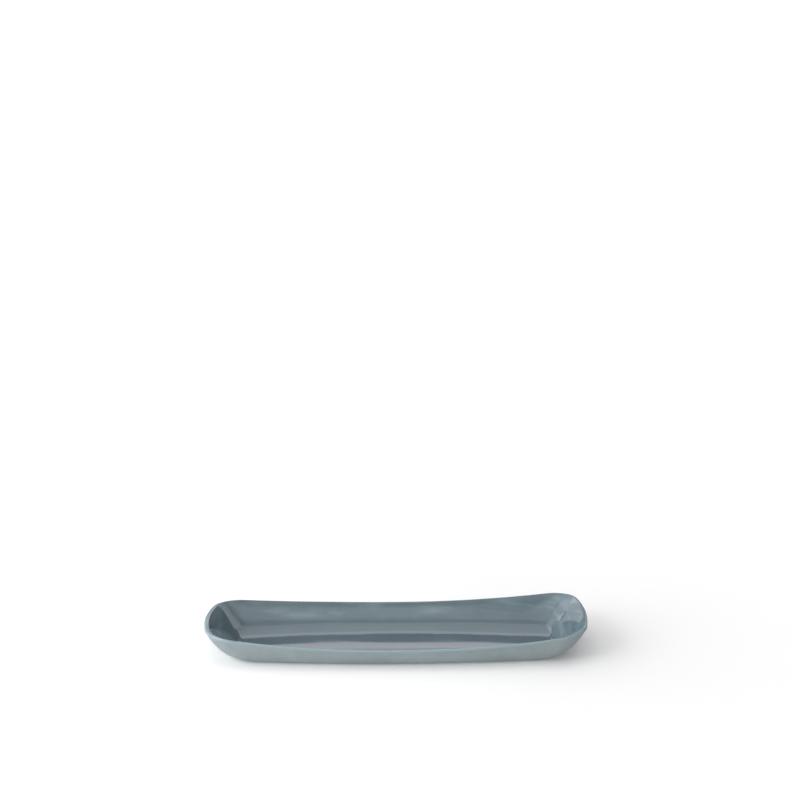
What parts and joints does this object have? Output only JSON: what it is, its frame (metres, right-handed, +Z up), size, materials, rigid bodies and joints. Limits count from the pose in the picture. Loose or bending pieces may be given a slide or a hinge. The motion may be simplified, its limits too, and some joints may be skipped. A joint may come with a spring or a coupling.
{
  "type": "serving platter",
  "caption": "Long narrow porcelain serving platter with flared walls, a rim that dips along the sides and sweeps up to the corners, a gloss-glazed inside and a bare matte outside.",
  "frame": {"origin": "on the table, under the middle of the platter's plan box", "axes": "+X along the length, to the right as seen from the front; +Y across, from the front to the back; +Z up, the way the dish opens"},
  "size_m": [0.35, 0.117, 0.031],
  "materials": {
    "bare_porcelain": "matte, sanded, coloured right through",
    "gloss_glaze": "gloss, blue-grey"
  },
  "bodies": {
    "root": {"porcelain_body": "bare_porcelain", "interior_glaze": "gloss_glaze"}
  },
  "joints": []
}
